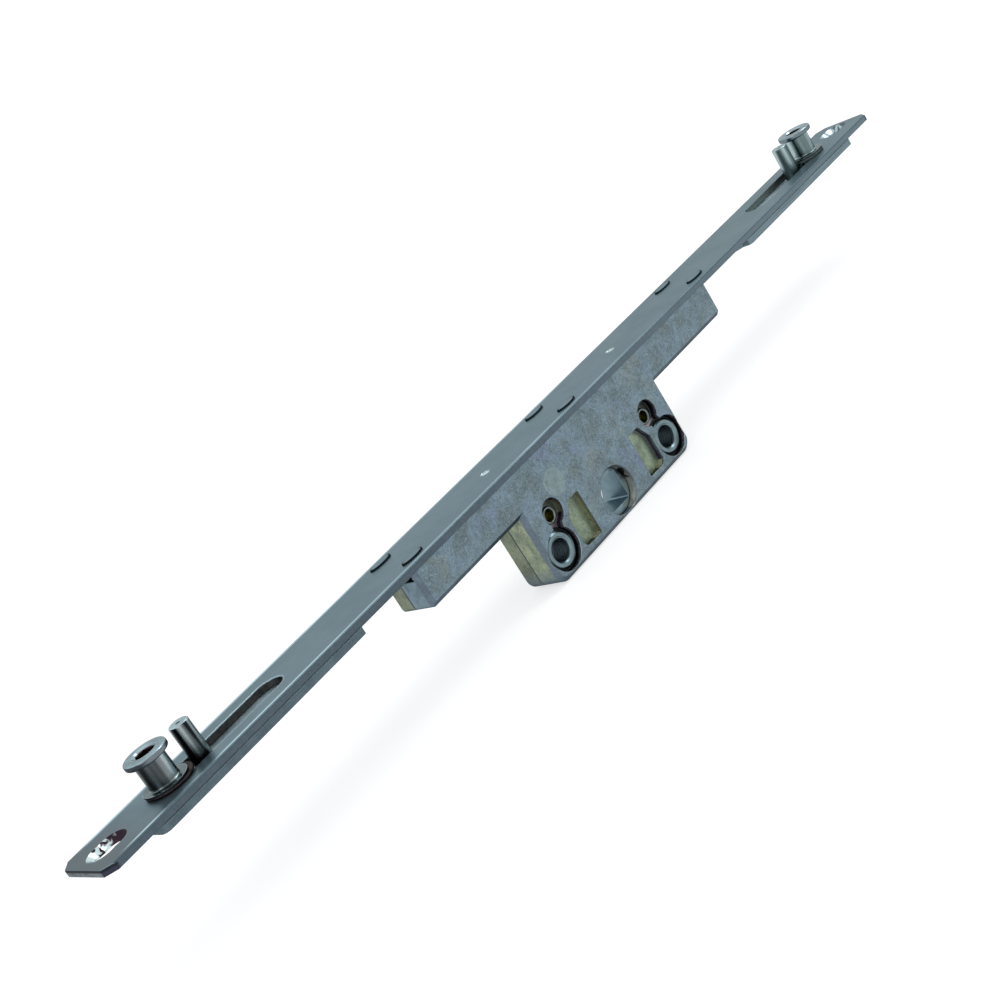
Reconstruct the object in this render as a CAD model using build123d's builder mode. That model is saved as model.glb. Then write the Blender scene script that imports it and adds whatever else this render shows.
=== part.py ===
from math import acos, cos, pi, radians, sin, sqrt, tan
import os

from build123d import *

# Window espagnolette, edge mounted. Millimetres.
# The origin is the handle spindle's axis, at mid thickness of the gearbox.
# +X runs along the faceplate, +Z points out of the window stile, and -Y is the handle side.

# Faceplate
plate_length = 280.0
plate_width = 16.0
plate_thickness = 1.5
plate_corner_cut = 2.0
plate_edge_round = 0.35
backset = 22.0
dimple_place = 24.2
dimple_radius = 1.1
dimple_depth = 0.12

# Screw holes at the ends of the faceplate: two countersinks that run into each other
screw_end_distance = 5.8
screw_hole_radius = 2.1
screw_head_radius = 3.2
screw_lobe_spacing = 2.0
screw_land = 0.4

# Mushroom cams, on an eccentric shank for setting the closing pressure
cam_end_distance = 20.8
cam_eccentricity = 0.6
cam_height = 7.35
cam_head_radius = 4.3
cam_head_height = 1.25
cam_head_round = 0.4
cam_neck_radius = 3.0
cam_neck_fillet = 0.35
cam_flange_radius = 4.5
cam_flange_height = 0.35
cam_shank_radius = 3.0
cam_rivet_radius = 2.0
cam_rivet_flare = 0.6
cam_hex_width = 3.6
cam_hex_depth = 2.2
cam_mouth_radius = 2.4
cam_mouth_depth = 0.5

# Slide washer under each cam
washer_gap = 0.12
washer_height = 0.45
washer_radius = 4.9
washer_lift = 0.03

# Guide pins beside the cams
cam_to_pin = 8.2
pin_radius = 2.0
pin_height = 6.9
pin_round = 0.35
pin_rivet_radius = 1.5
pin_centre_radius = 0.6
pin_centre_tip_radius = 0.1
pin_centre_depth = 0.3

# Slots of the faceplate, which the cams and pins travel in
slot_inner_gap = 3.9
slot_outer_gap = 1.1
slot_side_gap = 0.4

# Drive bars, which slide under the faceplate
bar_thickness = 1.5
bar_gap = 0.12
bar_screw_gap = 2.9
bar_shoulder_gap = 2.0
bar_neck_taper = 1.6
bar_neck_width = 11.0
bar_tongue_width = 8.0
bar_end_radius = 1.6
bar_shoulder_radius = 1.0
bar_tongue_overhang = 1.0

# Follower, the gear that the handle spindle turns
spindle_square = 7.0
spindle_clearance = 0.05
square_corner_radius = 0.4
follower_teeth = 28
follower_first_tooth = -8
follower_last_tooth = 1
collar_wall = 0.18
collar_clearance = 0.07
collar_length = 0.8

# Teeth of the follower, pinion and racks
pressure_angle = radians(25.0)
addendum_share = 0.8
tooth_root_clearance = 0.24
tooth_backlash = 0.12
tooth_flank_points = 6
teeth_cavity_clearance = 0.25

# Reversing pinion, between the follower and the far rack
pinion_teeth = 9
inner_pin_radius = 1.2
inner_pin_seat = 2.0
running_clearance = 0.05
press_clearance = 0.02

# Racks, and the slots that guide them
rack_thickness = 2.3
rack_side_gap = 0.1
rack_floor_gap = 0.25
rack_spine = 1.93
rack_end_gap = 2.5
rack_deep_gap = 0.9
rack_slot_gap = 0.15
rack_slot_end_wall = 5.26
rack_tab_length = 3.0
rack_tab_spacing = 5.5
rack_tab_end_wall = 2.5
rack_tab_gap = 0.05
rack_tab_sink = 0.1

# Gearbox case, die cast in two halves
case_thickness = 10.7
case_seam_place = 0.5
case_seam_groove = 0.15
case_edge_round = 0.6
case_end_bevel = 1.1
arm_half_length = 56.6
arm_depth = 9.25
arm_corner_radius = 1.2
arm_floor = 1.55
deep_corner_radius = 3.0
case_bottom_wall = 0.6
case_end_wall = 2.1
bar_way_side_gap = 0.2
bar_way_floor_gap = 0.98
bore_rim_chamfer = 0.25

# Threaded bushes for the handle's screws
bush_pitch = 43.0
bush_radius = 4.0
bush_thread_radius = 2.1
bush_sink = 0.95
bush_chamfer = 0.8
recess_gap = 0.65
recess_depth = 1.9
recess_neck_width = 3.4
bush_end_wall = 0.65
bush_bottom_wall = 1.1
collar_bottom_wall = 0.47

# Hollow rivets that hold the case halves together
rivet_inset = 2.6
rivet_height = 7.0
rivet_shank_radius = 1.7
rivet_bore_radius = 1.25
rivet_head_radius = 1.95
rivet_head_height = 0.5
rivet_recess_gap = 1.05
rivet_recess_rise = 0.6

# Cored pockets in the case's sides, beside the spindle
pocket_depth = 1.6
pocket_length = 6.0
pocket_wall = 0.65
pocket_top = 7.0
pocket_bottom = -3.5
pocket_top_cut_width = 2.2
pocket_top_cut_height = 3.6
pocket_low_cut = 1.0
pocket_corner_radius = 0.4

# Lugs of the case that are riveted over the faceplate
lug_length = 4.0
lug_thickness = 0.9
lug_side_wall = 0.1
lug_end_wall = 0.3
lug_head_length = 6.0
lug_head_width = 2.4
lug_head_height = 0.35
lug_head_shift = 0.2
lug_head_round = 0.15
lug_clearance = 0.06

# Heights of the stacked layers, from the faceplate down
plate_top = backset
plate_bottom = plate_top - plate_thickness
bar_top = plate_bottom - bar_gap
bar_bottom = bar_top - bar_thickness
bar_way_floor = bar_bottom - bar_way_floor_gap
rack_top = bar_bottom - rack_tab_gap
arm_bottom = plate_bottom - arm_depth
rack_arm_bottom = arm_bottom + arm_floor + rack_floor_gap

# Gear sizes: follower, pinion and far rack fill the height between the spindle and the bars
teeth_height = rack_top - rack_spine - tooth_root_clearance
gear_module = teeth_height / (follower_teeth / 2 + pinion_teeth + addendum_share)
tooth_addendum = addendum_share * gear_module
tooth_dedendum = tooth_addendum + tooth_root_clearance
tooth_pitch = pi * gear_module
follower_radius = gear_module * follower_teeth / 2
pinion_radius = gear_module * pinion_teeth / 2
pinion_height = follower_radius + pinion_radius
near_rack_pitch_height = follower_radius
far_rack_pitch_height = pinion_height + pinion_radius
travel = follower_radius * pi / 2
rack_toothed_end = travel + tooth_pitch

# Widths across the case
half_case = case_thickness / 2
half_inner = rack_side_gap + rack_thickness + rack_side_gap
rack_middle = rack_side_gap + rack_thickness / 2
collar_radius = (spindle_square / 2 + spindle_clearance) * sqrt(2) + collar_wall
collar_bore_radius = collar_radius + collar_clearance
recess_radius = bush_radius + recess_gap
deep_half_length = bush_pitch / 2 + recess_radius + bush_end_wall
deep_bottom = -max(recess_radius + bush_bottom_wall, collar_bore_radius + collar_bottom_wall)
teeth_cavity_radius = follower_radius + tooth_addendum + teeth_cavity_clearance
rack_cavity_floor = near_rack_pitch_height - tooth_addendum - teeth_cavity_clearance
rack_cavity_half = rack_toothed_end + teeth_cavity_clearance
rack_outer_end = arm_half_length - case_end_wall - rack_end_gap
rivet_place = bush_pitch / 2 - rivet_inset
pocket_outer = bush_pitch / 2 - recess_radius - pocket_wall
pocket_inner = pocket_outer - pocket_length

# Places along the faceplate, the same at both ends
screw_place = plate_length / 2 - screw_end_distance
cam_place = plate_length / 2 - cam_end_distance
pin_place = cam_place - cam_to_pin
shank_middle = cam_place - cam_eccentricity
slot_inner_end = pin_place - pin_radius - travel - slot_inner_gap
slot_outer_end = shank_middle + cam_shank_radius + slot_outer_gap
slot_width = 2 * (cam_shank_radius + slot_side_gap)
bar_outer_end = screw_place - screw_lobe_spacing / 2 - screw_hole_radius - bar_screw_gap
bar_shoulder = arm_half_length + travel + bar_shoulder_gap
bar_neck_start = bar_shoulder - bar_neck_taper
outer_tab = rack_outer_end - rack_tab_end_wall - rack_tab_length / 2
tab_places = (outer_tab - rack_tab_spacing, outer_tab)
bar_inner_end = tab_places[0] - rack_tab_length / 2 - bar_tongue_overhang
lug_pitch = arm_half_length - lug_end_wall - lug_length / 2
lug_middle = half_case - lug_side_wall - lug_thickness / 2
inner_slot_radius = inner_pin_radius + rack_slot_gap
guide_pin_place = rack_outer_end - rack_slot_end_wall - inner_slot_radius - travel
guide_pin_height = (rack_arm_bottom + rack_top) / 2
inner_pin_half_length = half_inner + inner_pin_seat - running_clearance

# Heights and lengths of the parts on the faceplate and in the case
washer_bottom = plate_top + washer_gap
flange_bottom = washer_bottom + washer_height + washer_lift
cam_top = plate_top + cam_height
bush_half_length = half_case - bush_sink
rivet_half_length = half_case - recess_depth + rivet_head_height
rivet_recess_radius = rivet_head_radius + rivet_recess_gap
touch = 0.001


def involute(angle):
    """The involute function of a pressure angle in radians."""
    return tan(angle) - angle


def tooth_points(teeth, centre, number):
    """Flank points of one gear tooth, from its left root to its tip and down to its right root."""
    radius = gear_module * teeth / 2
    base = radius * cos(pressure_angle)
    half_angle = (tooth_pitch / 2 - tooth_backlash) / (2 * radius)
    root = radius - tooth_dedendum
    tip = radius + tooth_addendum
    middle = 2 * pi * number / teeth
    flank = []
    for step in range(tooth_flank_points):
        reach = root + (tip - root) * step / (tooth_flank_points - 1)
        rolled = involute(acos(min(1.0, base / max(reach, base))))
        flank.append((reach, half_angle + involute(pressure_angle) - rolled))
    left = [(r * sin(middle - a), centre + r * cos(middle - a)) for r, a in flank]
    right = [(r * sin(middle + a), centre + r * cos(middle + a)) for r, a in flank]
    return left, right


def draw_outline(*points):
    """Draws a filled outline with straight sides in the sketch that is open."""
    with BuildLine() as outline:
        Polyline(*points, close=True)
    make_face(outline.edges())


def draw_tooth(teeth, centre, number):
    """Draws one gear tooth, closed by a straight line at its root."""
    left, right = tooth_points(teeth, centre, number)
    draw_outline(*left, *reversed(right))


def draw_rack_teeth(pitch_height, numbers):
    """Draws a rack's teeth, which point down, on a strip that reaches up to their root line."""
    half_pitch_width = tooth_pitch / 4 - tooth_backlash / 2
    half_tip = half_pitch_width - tooth_addendum * tan(pressure_angle)
    half_root = half_pitch_width + tooth_dedendum * tan(pressure_angle)
    tip_height = pitch_height - tooth_addendum
    root_height = pitch_height + tooth_dedendum
    for number in numbers:
        middle = (number + 0.5) * tooth_pitch
        draw_outline(
            (middle - half_root, root_height),
            (middle - half_tip, tip_height),
            (middle + half_tip, tip_height),
            (middle + half_root, root_height),
        )


def save(part, label):
    """Names a finished piece and writes it."""
    part.label = label
    export_step(part, f"parts/{label}.step")


os.makedirs("parts", exist_ok=True)


# Faceplate
with BuildPart() as faceplate:
    with BuildSketch(Plane.XY.offset(plate_bottom)):
        outline = Rectangle(plate_length, plate_width)
        chamfer(outline.vertices(), plate_corner_cut)
    extrude(amount=plate_thickness)
    fillet(faceplate.faces().sort_by(Axis.Z)[-1].edges(), plate_edge_round)
    slot_middle = (slot_outer_end + slot_inner_end) / 2
    with BuildSketch(Plane.XY.offset(plate_top)):
        with Locations((-slot_middle, 0), (slot_middle, 0)):
            SlotOverall(slot_outer_end - slot_inner_end, slot_width)
    extrude(amount=-plate_thickness, mode=Mode.SUBTRACT)
    # Screw holes: each is two countersunk holes that overlap
    cone_height = plate_thickness - screw_land
    for end in (-1, 1):
        for lobe in (-1, 1):
            lobe_place = end * screw_place + lobe * screw_lobe_spacing / 2
            with Locations((lobe_place, 0, plate_bottom + plate_thickness / 2)):
                Cylinder(screw_hole_radius, plate_thickness, mode=Mode.SUBTRACT)
            with Locations((lobe_place, 0, plate_top - cone_height / 2)):
                Cone(screw_hole_radius, screw_head_radius, cone_height, mode=Mode.SUBTRACT)
    # Slots for the case's lugs
    with BuildSketch(Plane.XY.offset(plate_top)):
        with GridLocations(lug_pitch, 2 * lug_middle, 3, 2):
            Rectangle(lug_length + 2 * lug_clearance, lug_thickness + 2 * lug_clearance)
    extrude(amount=-plate_thickness, mode=Mode.SUBTRACT)
    # Shallow punch marks on the centre line
    with Locations((-dimple_place, 0, plate_top), (dimple_place, 0, plate_top)):
        Cylinder(dimple_radius, 2 * dimple_depth, mode=Mode.SUBTRACT)
save(faceplate.part, "faceplate")


# Case halves: each is a wall of its own thickness with the mechanism's space cut out of both
front_wall = half_case + case_seam_place
back_wall = half_case - case_seam_place
for case_name, side, wall in (("case_front", -1, front_wall), ("case_back", 1, back_wall)):
    outer_plane = Plane.XZ.offset(-side * half_case)
    seam_plane = Plane.XZ.offset(-side * (half_case - wall))
    with BuildPart() as case_half:
        with BuildSketch(outer_plane) as case_outline:
            draw_outline(
                (-arm_half_length, plate_bottom),
                (-arm_half_length, arm_bottom),
                (-deep_half_length, arm_bottom),
                (-deep_half_length, deep_bottom),
                (deep_half_length, deep_bottom),
                (deep_half_length, arm_bottom),
                (arm_half_length, arm_bottom),
                (arm_half_length, plate_bottom),
            )
            fillet(case_outline.vertices().group_by(Axis.Y)[0], deep_corner_radius)
            arm_corners = case_outline.vertices().filter_by(
                lambda v: abs(v.X) > arm_half_length - touch and v.Y < arm_bottom + touch)
            fillet(arm_corners, arm_corner_radius)
        extrude(amount=side * wall)
        # Bevels up the four ends, and a rounded edge along the bottom
        face_edges = case_half.edges().filter_by(lambda e: abs(e.center().Y - side * half_case) < touch)
        chamfer(face_edges.filter_by(Axis.Z), case_end_bevel)
        low_edges = case_half.edges().filter_by(Axis.X).filter_by(
            lambda e: abs(e.center().Y - side * half_case) < touch and e.center().Z < arm_bottom + touch)
        fillet(low_edges, case_edge_round)
        # Shallow groove round the seam
        with BuildSketch(seam_plane):
            add(case_outline.sketch_local)
            offset(case_outline.sketch_local, amount=-case_seam_groove, mode=Mode.SUBTRACT)
        extrude(amount=-side * case_seam_groove, mode=Mode.SUBTRACT)
        # The mechanism's space: bar way, arms, rack space and the follower's round
        with BuildSketch(Plane.XY.offset(plate_bottom)):
            Rectangle(2 * arm_half_length, bar_tongue_width + 2 * bar_way_side_gap)
        extrude(amount=bar_way_floor - plate_bottom, mode=Mode.SUBTRACT)
        with BuildSketch(Plane.XZ):
            with Locations((0, (plate_bottom + arm_bottom + arm_floor) / 2)):
                Rectangle(2 * (arm_half_length - case_end_wall), arm_depth - arm_floor)
            with Locations((0, (plate_bottom + rack_cavity_floor) / 2)):
                Rectangle(2 * rack_cavity_half, plate_bottom - rack_cavity_floor)
            Circle(teeth_cavity_radius)
            with Locations((0, deep_bottom + case_bottom_wall - teeth_cavity_radius)):
                Rectangle(2 * teeth_cavity_radius, 2 * teeth_cavity_radius, mode=Mode.SUBTRACT)
        extrude(amount=half_inner, both=True, mode=Mode.SUBTRACT)
        # Bearing bore for the follower's collar
        with BuildSketch(Plane.XZ):
            Circle(collar_bore_radius)
        extrude(amount=half_case, both=True, mode=Mode.SUBTRACT)
        bore_rim = case_half.edges().filter_by(GeomType.CIRCLE).filter_by(
            lambda e: abs(e.radius - collar_bore_radius) < touch
            and abs(e.center().Y - side * half_case) < touch)
        chamfer(bore_rim, bore_rim_chamfer)
        # Keyhole recesses round the bushes and rivets, and the cored pockets
        with BuildSketch(outer_plane):
            for end in (-1, 1):
                bush_place = end * bush_pitch / 2
                with Locations((bush_place, 0)):
                    Circle(recess_radius)
                with Locations((end * rivet_place, rivet_height + rivet_recess_rise)):
                    Circle(rivet_recess_radius)
                draw_outline(
                    (bush_place - recess_neck_width / 2, 0),
                    (end * rivet_place - recess_neck_width / 2, rivet_height),
                    (end * rivet_place + recess_neck_width / 2, rivet_height),
                    (bush_place + recess_neck_width / 2, 0),
                )
        extrude(amount=side * recess_depth, mode=Mode.SUBTRACT)
        with BuildSketch(outer_plane) as pockets:
            for end in (-1, 1):
                draw_outline(
                    (end * pocket_inner, pocket_top),
                    (end * (pocket_outer - pocket_top_cut_width), pocket_top),
                    (end * pocket_outer, pocket_top - pocket_top_cut_height),
                    (end * pocket_outer, pocket_bottom + pocket_low_cut),
                    (end * (pocket_outer - pocket_low_cut), pocket_bottom),
                    (end * pocket_inner, pocket_bottom),
                )
            fillet(pockets.vertices(), pocket_corner_radius)
        extrude(amount=side * pocket_depth, mode=Mode.SUBTRACT)
        # Holes through for the bushes and rivets, and blind seats for the inner pins
        with BuildSketch(Plane.XZ):
            with Locations((-bush_pitch / 2, 0), (bush_pitch / 2, 0)):
                Circle(bush_radius + press_clearance)
            with Locations((-rivet_place, rivet_height), (rivet_place, rivet_height)):
                Circle(rivet_shank_radius + press_clearance)
        extrude(amount=half_case, both=True, mode=Mode.SUBTRACT)
        with BuildSketch(Plane.XZ):
            with Locations((0, pinion_height)):
                Circle(inner_pin_radius + press_clearance)
            with Locations((-guide_pin_place, guide_pin_height), (guide_pin_place, guide_pin_height)):
                Circle(inner_pin_radius + press_clearance)
        extrude(amount=half_inner + inner_pin_seat, both=True, mode=Mode.SUBTRACT)
        # Lugs through the faceplate, with their riveted heads
        with BuildSketch(Plane.XY.offset(plate_bottom)):
            with Locations((0, side * lug_middle)):
                with GridLocations(lug_pitch, 0, 3, 1):
                    Rectangle(lug_length, lug_thickness)
        extrude(amount=plate_thickness)
        with BuildSketch(Plane.XY.offset(plate_top)):
            with Locations((0, side * (lug_middle + lug_head_shift))):
                with GridLocations(lug_pitch, 0, 3, 1):
                    Ellipse(lug_head_length / 2, lug_head_width / 2)
        extrude(amount=lug_head_height)
        fillet(case_half.faces().filter_by(Axis.Z).group_by(Axis.Z)[-1].edges(), lug_head_round)
    save(case_half.part, case_name)


# Threaded bushes
for where, end in (("near", -1), ("far", 1)):
    with BuildPart() as bush:
        with BuildSketch(Plane.XZ):
            with Locations((end * bush_pitch / 2, 0)):
                Circle(bush_radius)
                Circle(bush_thread_radius, mode=Mode.SUBTRACT)
        extrude(amount=bush_half_length, both=True)
        mouths = bush.edges().filter_by(GeomType.CIRCLE).filter_by(
            lambda e: abs(e.radius - bush_thread_radius) < touch)
        chamfer(mouths, bush_chamfer)
    save(bush.part, f"{where}_handle_bush")


# Hollow rivets of the case
with BuildPart() as case_rivets:
    with BuildSketch(Plane.XZ):
        with Locations((-rivet_place, rivet_height), (rivet_place, rivet_height)):
            Circle(rivet_shank_radius)
    extrude(amount=rivet_half_length, both=True)
    for side in (-1, 1):
        with BuildSketch(Plane.XZ.offset(-side * rivet_half_length)):
            with Locations((-rivet_place, rivet_height), (rivet_place, rivet_height)):
                Circle(rivet_head_radius)
        extrude(amount=side * rivet_head_height)
    with BuildSketch(Plane.XZ):
        with Locations((-rivet_place, rivet_height), (rivet_place, rivet_height)):
            Circle(rivet_bore_radius)
    extrude(amount=half_case, both=True, mode=Mode.SUBTRACT)
save(case_rivets.part, "case_rivets")


# Follower: a hub with a square hole, a collar on each side and a toothed sector
with BuildPart() as follower:
    sector_start = 2 * pi * (follower_first_tooth - 0.5) / follower_teeth
    sector_end = 2 * pi * (follower_last_tooth + 0.5) / follower_teeth
    sector_middle = (sector_start + sector_end) / 2
    root_radius = follower_radius - tooth_dedendum
    with BuildSketch(Plane.XZ):
        with BuildLine():
            Line((0, 0), (root_radius * sin(sector_start), root_radius * cos(sector_start)))
            ThreePointArc(
                (root_radius * sin(sector_start), root_radius * cos(sector_start)),
                (root_radius * sin(sector_middle), root_radius * cos(sector_middle)),
                (root_radius * sin(sector_end), root_radius * cos(sector_end)),
            )
            Line((root_radius * sin(sector_end), root_radius * cos(sector_end)), (0, 0))
        make_face()
        Circle(collar_radius)
        for number in range(follower_first_tooth, follower_last_tooth + 1):
            draw_tooth(follower_teeth, 0, number)
    extrude(amount=half_inner - rack_side_gap, both=True)
    with BuildSketch(Plane.XZ):
        Circle(collar_radius)
    extrude(amount=half_inner - rack_side_gap + collar_length, both=True)
    square_hole = spindle_square + 2 * spindle_clearance
    with BuildSketch(Plane.XZ):
        square = Rectangle(square_hole, square_hole)
        fillet(square.vertices(), square_corner_radius)
    extrude(amount=half_case, both=True, mode=Mode.SUBTRACT)
save(follower.part, "follower")


# Reversing pinion, on the handle side's half of the space
with BuildPart() as reversing_pinion:
    with BuildSketch(Plane.XZ.offset(rack_middle)):
        with Locations((0, pinion_height)):
            Circle(pinion_radius - tooth_dedendum)
        for number in range(pinion_teeth):
            draw_tooth(pinion_teeth, pinion_height, number)
        with Locations((0, pinion_height)):
            Circle(inner_pin_radius + running_clearance, mode=Mode.SUBTRACT)
    extrude(amount=rack_thickness / 2, both=True)
save(reversing_pinion.part, "reversing_pinion")


# Axle of the reversing pinion
with BuildPart() as pinion_axle:
    with BuildSketch(Plane.XZ):
        with Locations((0, pinion_height)):
            Circle(inner_pin_radius)
    extrude(amount=inner_pin_half_length, both=True)
save(pinion_axle.part, "pinion_axle")


# Guide pins of the racks
with BuildPart() as rack_guide_pins:
    with BuildSketch(Plane.XZ):
        with Locations((-guide_pin_place, guide_pin_height), (guide_pin_place, guide_pin_height)):
            Circle(inner_pin_radius)
    extrude(amount=inner_pin_half_length, both=True)
save(rack_guide_pins.part, "rack_guide_pins")


def draw_guide_slot(end, place, height):
    """Draws the slot that a fixed pin runs in while the rack moves towards the spindle."""
    with Locations((end * (place + travel / 2), height)):
        SlotOverall(travel + 2 * inner_slot_radius, 2 * inner_slot_radius, mode=Mode.SUBTRACT)


# Racks: flat toothed plates on edge, side by side, with tabs that hook into the drive bars
tab_height = bar_top - rack_tab_sink - rack_top
with BuildPart() as near_rack:
    with BuildSketch(Plane.XZ.offset(-rack_middle)):
        root_height = near_rack_pitch_height + tooth_dedendum
        with Locations(((tooth_pitch - rack_toothed_end) / 2, (root_height + rack_top) / 2)):
            Rectangle(tooth_pitch + rack_toothed_end, rack_top - root_height)
        with Locations(((tooth_pitch - rack_outer_end) / 2, (rack_arm_bottom + rack_top) / 2)):
            Rectangle(tooth_pitch + rack_outer_end, rack_top - rack_arm_bottom)
        draw_rack_teeth(near_rack_pitch_height, range(follower_first_tooth, follower_last_tooth))
        draw_guide_slot(-1, 0, pinion_height)
        draw_guide_slot(-1, guide_pin_place, guide_pin_height)
        with Locations(*[(-place, rack_top + tab_height / 2) for place in tab_places]):
            Rectangle(rack_tab_length, tab_height)
    extrude(amount=rack_thickness / 2, both=True)
save(near_rack.part, "near_rack")

with BuildPart() as far_rack:
    with BuildSketch(Plane.XZ.offset(rack_middle)):
        root_height = far_rack_pitch_height + tooth_dedendum
        deep_start = travel + pinion_radius + tooth_addendum + rack_deep_gap
        with Locations(((rack_outer_end - tooth_pitch) / 2, (root_height + rack_top) / 2)):
            Rectangle(rack_outer_end + tooth_pitch, rack_top - root_height)
        with Locations(((deep_start + rack_outer_end) / 2, (rack_arm_bottom + rack_top) / 2)):
            Rectangle(rack_outer_end - deep_start, rack_top - rack_arm_bottom)
        draw_rack_teeth(far_rack_pitch_height, range(-follower_last_tooth, -follower_first_tooth))
        draw_guide_slot(1, guide_pin_place, guide_pin_height)
        with Locations(*[(place, rack_top + tab_height / 2) for place in tab_places]):
            Rectangle(rack_tab_length, tab_height)
    extrude(amount=rack_thickness / 2, both=True)
save(far_rack.part, "far_rack")


# Drive bars, cams, washers and guide pins, one of each at either end
for where, end, rack_side in (("near", -1, 1), ("far", 1, -1)):
    shank_place = end * shank_middle

    with BuildPart() as drive_bar:
        with BuildSketch(Plane.XY.offset(bar_bottom)) as bar_outline:
            draw_outline(
                (end * bar_inner_end, -bar_tongue_width / 2),
                (end * bar_neck_start, -bar_tongue_width / 2),
                (end * bar_shoulder, -bar_neck_width / 2),
                (end * bar_shoulder, -plate_width / 2),
                (end * bar_outer_end, -plate_width / 2),
                (end * bar_outer_end, plate_width / 2),
                (end * bar_shoulder, plate_width / 2),
                (end * bar_shoulder, bar_neck_width / 2),
                (end * bar_neck_start, bar_tongue_width / 2),
                (end * bar_inner_end, bar_tongue_width / 2),
            )
            outer_corners = bar_outline.vertices().filter_by(
                lambda v: abs(v.X) > bar_outer_end - touch)
            fillet(outer_corners, bar_end_radius)
        extrude(amount=bar_thickness)
        shoulder_edges = drive_bar.edges().filter_by(Axis.Z).filter_by(
            lambda e: abs(abs(e.center().X) - bar_shoulder) < touch
            and abs(e.center().Y) > plate_width / 2 - bar_shoulder_radius)
        fillet(shoulder_edges, bar_shoulder_radius)
        # Windows for the rack's tabs
        with BuildSketch(Plane.XY.offset(bar_bottom)):
            with Locations(*[(end * place, rack_side * rack_middle) for place in tab_places]):
                Rectangle(rack_tab_length + 2 * rack_tab_gap, rack_thickness + 2 * rack_tab_gap)
        extrude(amount=bar_thickness, mode=Mode.SUBTRACT)
        # Holes for the cam's rivet end and the guide pin
        with BuildSketch(Plane.XY.offset(bar_bottom)):
            with Locations((shank_place, 0)):
                Circle(cam_rivet_radius + running_clearance)
            with Locations((end * pin_place, 0)):
                Circle(pin_rivet_radius + press_clearance)
        extrude(amount=bar_thickness, mode=Mode.SUBTRACT)
        flare_radius = cam_rivet_radius + cam_rivet_flare + running_clearance
        with Locations((shank_place, 0, bar_bottom + cam_rivet_flare / 2)):
            Cone(flare_radius, cam_rivet_radius + running_clearance, cam_rivet_flare, mode=Mode.SUBTRACT)
    save(drive_bar.part, f"{where}_drive_bar")

    # Cam: head, neck and flange turned in one, on a shank set off its axis, riveted under the bar
    with BuildPart() as cam:
        with BuildSketch(Plane.XY.offset(flange_bottom)):
            with Locations((end * cam_place, 0)):
                Circle(cam_flange_radius)
        extrude(amount=cam_flange_height)
        with BuildSketch(Plane.XY.offset(flange_bottom)):
            with Locations((end * cam_place, 0)):
                Circle(cam_neck_radius)
        extrude(amount=cam_top - flange_bottom)
        with BuildSketch(Plane.XY.offset(cam_top - cam_head_height)):
            with Locations((end * cam_place, 0)):
                Circle(cam_head_radius)
        extrude(amount=cam_head_height)
        head_rims = cam.edges().filter_by(GeomType.CIRCLE).filter_by(
            lambda e: abs(e.radius - cam_head_radius) < touch)
        fillet(head_rims, cam_head_round)
        neck_rims = cam.edges().filter_by(GeomType.CIRCLE).filter_by(
            lambda e: abs(e.radius - cam_neck_radius) < touch)
        fillet(neck_rims, cam_neck_fillet)
        with BuildSketch(Plane.XY.offset(cam_top)):
            with Locations((end * cam_place, 0)):
                RegularPolygon(cam_hex_width / 2, 6, major_radius=False)
        extrude(amount=-cam_hex_depth, mode=Mode.SUBTRACT)
        with Locations((end * cam_place, 0, cam_top - cam_mouth_depth / 2)):
            Cone(cam_mouth_radius - cam_mouth_depth, cam_mouth_radius, cam_mouth_depth, mode=Mode.SUBTRACT)
        with BuildSketch(Plane.XY.offset(bar_top + running_clearance)):
            with Locations((shank_place, 0)):
                Circle(cam_shank_radius)
        extrude(amount=flange_bottom - bar_top - running_clearance)
        with BuildSketch(Plane.XY.offset(bar_bottom)):
            with Locations((shank_place, 0)):
                Circle(cam_rivet_radius)
        extrude(amount=flange_bottom - bar_bottom)
        with Locations((shank_place, 0, bar_bottom + cam_rivet_flare / 2)):
            Cone(cam_rivet_radius + cam_rivet_flare, cam_rivet_radius, cam_rivet_flare)
    save(cam.part, f"{where}_cam")

    with BuildPart() as cam_washer:
        with BuildSketch(Plane.XY.offset(washer_bottom)):
            with Locations((shank_place, 0)):
                Circle(washer_radius)
                Circle(cam_shank_radius + running_clearance, mode=Mode.SUBTRACT)
        extrude(amount=washer_height)
    save(cam_washer.part, f"{where}_cam_washer")

    # Guide pin: a plain stud riveted into the bar, with a turning centre in its top
    with BuildPart() as guide_pin:
        with BuildSketch(Plane.XY.offset(bar_top)):
            with Locations((end * pin_place, 0)):
                Circle(pin_radius)
        extrude(amount=plate_top + pin_height - bar_top)
        fillet(guide_pin.faces().sort_by(Axis.Z)[-1].edges(), pin_round)
        with Locations((end * pin_place, 0, plate_top + pin_height - pin_centre_depth / 2)):
            Cone(pin_centre_tip_radius, pin_centre_radius, pin_centre_depth, mode=Mode.SUBTRACT)
        with BuildSketch(Plane.XY.offset(bar_bottom)):
            with Locations((end * pin_place, 0)):
                Circle(pin_rivet_radius)
        extrude(amount=bar_thickness)
    save(guide_pin.part, f"{where}_guide_pin")
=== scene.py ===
import math

import bmesh
import bpy
from mathutils import Matrix, Vector


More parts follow.
